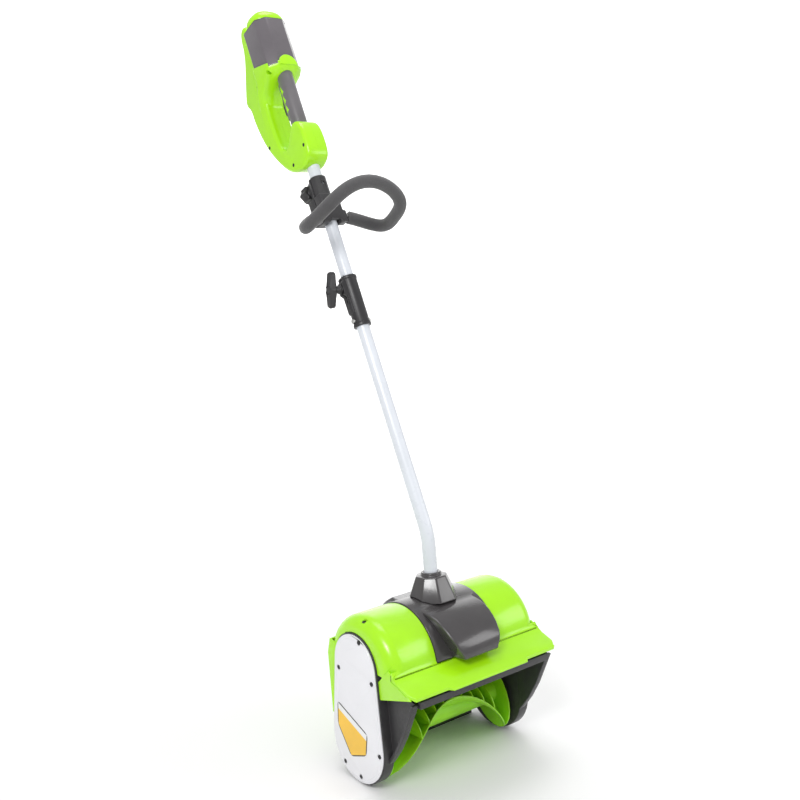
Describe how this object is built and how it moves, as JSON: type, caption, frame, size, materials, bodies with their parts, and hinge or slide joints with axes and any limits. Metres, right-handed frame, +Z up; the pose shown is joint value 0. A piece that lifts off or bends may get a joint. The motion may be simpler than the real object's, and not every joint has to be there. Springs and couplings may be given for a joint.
{
  "type": "cordless snow shovel",
  "caption": "Hand-pushed battery snow thrower: barrel-shaped head with a bladed rotor, bent pole, loop handle and rear trigger grip.",
  "frame": {"origin": "on the ground under the middle of the scraper edge", "axes": "+X across the machine, intake faces -Y, +Z up"},
  "size_m": [0.3564, 0.7563, 1.389],
  "materials": {
    "green_shell": "bright lime-green moulded plastic, semi-gloss",
    "green_rotor": "lime-green moulded plastic",
    "dark_gloss": "dark warm-grey gloss plastic",
    "dark_plastic": "dark grey moulded plastic, fine grain",
    "black_plastic": "black moulded plastic",
    "white_cover": "white gloss plastic",
    "pole_paint": "pale silver-grey powder coat on steel tube",
    "foam": "mid-grey closed-cell foam grip",
    "soft_grip": "dark grey soft-touch overmould",
    "steel": "machined steel",
    "zinc_screw": "zinc-plated fastener",
    "black_screw": "black-oxide screw",
    "aluminium": "bare aluminium",
    "copper": "enamelled copper winding",
    "contact": "brass contact",
    "belt_rubber": "moulded rubber belt",
    "cable_rubber": "black cable jacket",
    "board": "green solder-mask board",
    "cell_wrap": "blue shrink wrap",
    "label": "printed yellow label, plain bands only"
  },
  "bodies": {
    "head": {"auger_shroud": "green_shell", "belt_side_housing": "dark_plastic", "plain_side_housing": "dark_plastic", "rotor_chamber": "dark_plastic", "scraper_blade": "black_plastic", "scraper_screws": "zinc_screw", "belt_side_cover": "white_cover", "plain_side_cover": "white_cover", "belt_cover_screws": "black_screw", "plain_cover_screws": "black_screw", "side_label": "label", "shroud_screws": "black_screw", "motor_cover": "dark_gloss", "neck_collar": "dark_gloss", "pole_socket": "dark_plastic", "motor_bracket": "aluminium", "motor_can": "steel", "motor_end_bell": "black_plastic", "drive_belt": "belt_rubber", "belt_side_bearing": "steel", "plain_side_bearing": "steel", "lower_pole": "pole_paint", "lower_cable": "cable_rubber", "cable_socket": "black_plastic", "coupler_sleeve": "black_plastic", "coupler_bolt": "zinc_screw", "coupler_nut": "zinc_screw"},
    "rotor": {"rotor": "green_rotor", "rotor_shaft": "steel", "rotor_pulley": "aluminium"},
    "motor": {"armature_shaft": "copper", "motor_pulley": "steel"},
    "pole_knob": {"t_knob": "dark_plastic"},
    "upper": {"upper_pole": "pole_paint", "cable_plug": "black_plastic", "upper_cable": "cable_rubber", "handle_housing_left": "green_shell", "handle_housing_right": "green_shell", "housing_screws": "black_screw", "grip_sleeve": "soft_grip", "trigger_switch": "black_plastic", "control_board": "board", "battery_terminals": "contact", "trigger_spring": "steel", "latch_spring": "steel"},
    "loop": {"loop_clamp_front": "dark_plastic", "loop_clamp_rear": "dark_plastic", "loop_core": "steel", "loop_foam": "foam"},
    "clamp_knob": {"loop_knob": "black_plastic"},
    "trigger": {"trigger": "black_plastic"},
    "lock_button": {"lock_off_button": "dark_plastic"},
    "battery": {"battery_case": "dark_gloss", "battery_cap": "green_shell", "battery_cells": "cell_wrap"},
    "latch": {"battery_latch": "dark_plastic"}
  },
  "joints": [
    {"name": "rotor_spin", "type": "hinge", "parent": "head", "child": "rotor", "pos_m": [0, -0.06, 0.075], "axis": [1, 0, 0], "continuous": true},
    {"name": "motor_spin", "type": "hinge", "parent": "head", "child": "motor", "pos_m": [0, -0.051, 0.215], "axis": [1, 0, 0], "continuous": true},
    {"name": "pole_knob_turn", "type": "hinge", "parent": "head", "child": "pole_knob", "pos_m": [-0.04, 0.18991, 0.84778], "axis": [-1, 0, 0], "range_deg": [0, 720]},
    {"name": "pole_slide", "type": "slide", "parent": "head", "child": "upper", "axis": [0, 0.4721, 0.8816], "range_m": [0, 0.045]},
    {"name": "loop_slide", "type": "slide", "parent": "upper", "child": "loop", "axis": [0, 0.4721, 0.8816], "range_m": [-0.08, 0.02]},
    {"name": "clamp_knob_turn", "type": "hinge", "parent": "loop", "child": "clamp_knob", "pos_m": [0, 0.31927, 1.02579], "axis": [0, 0.8816, -0.4721], "range_deg": [0, 720]},
    {"name": "trigger_pull", "type": "hinge", "parent": "upper", "child": "trigger", "pos_m": [0, 0.40814, 1.22776], "axis": [-1, 0, 0], "range_deg": [0, 6], "stiffness_Nm_per_rad": 0.6, "springref_deg": -14.32},
    {"name": "lock_press", "type": "slide", "parent": "upper", "child": "lock_button", "axis": [-1, 0, 0], "range_m": [0, 0.003], "stiffness_N_per_m": 400, "springref_m": -0.004},
    {"name": "battery_slide", "type": "slide", "parent": "upper", "child": "battery", "axis": [0, 0.4721, 0.8816], "range_m": [0, 0.12]},
    {"name": "latch_press", "type": "slide", "parent": "upper", "child": "latch", "axis": [0, -0.8816, 0.4721], "range_m": [0, 0.0035], "stiffness_N_per_m": 500, "springref_m": -0.004}
  ],
  "couplings": [
    {"joint": "motor_spin", "follows": "rotor_spin", "ratio": 3}
  ]
}
